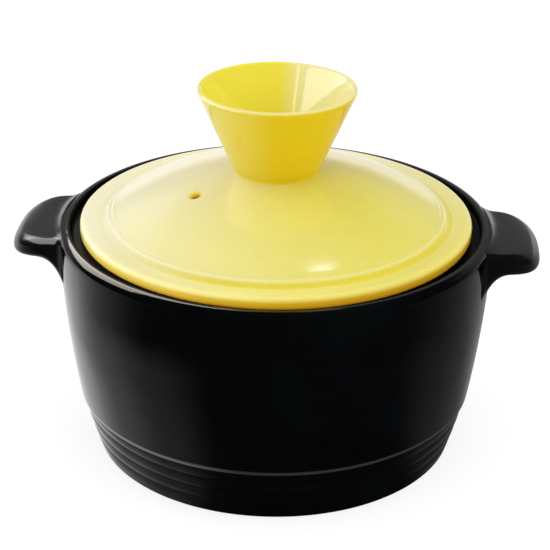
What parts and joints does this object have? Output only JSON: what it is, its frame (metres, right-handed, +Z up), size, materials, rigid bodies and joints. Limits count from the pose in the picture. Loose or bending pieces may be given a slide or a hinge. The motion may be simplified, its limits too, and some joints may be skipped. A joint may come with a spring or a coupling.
{
  "type": "earthenware casserole",
  "caption": "Round glazed earthenware casserole with a ribbed band at its foot, opposed lug handles and a domed lift-off lid with a steam vent and a hollow, cup-shaped knob.",
  "frame": {"origin": "middle of the foot, on the surface that the pot stands on", "axes": "+Z up along the axis on which the pot, the lid and the knob are turned; +X through the right handle; -Y towards the viewer of the picture"},
  "size_m": [0.2696, 0.2224, 0.1912],
  "materials": {
    "pot_glaze": "black gloss glaze",
    "handle_glaze": "black satin glaze",
    "lid_glaze": "pale yellow gloss glaze",
    "knob_glaze": "deep yellow gloss glaze"
  },
  "bodies": {
    "pot": {"pot_body": "pot_glaze", "right_handle": "handle_glaze", "left_handle": "handle_glaze"},
    "lid": {"lid": "lid_glaze", "lid_knob": "knob_glaze"}
  },
  "joints": [
    {"name": "lid_lift", "type": "slide", "parent": "pot", "child": "lid", "axis": [0, 0, 1], "range_m": [0, 0.12]}
  ]
}
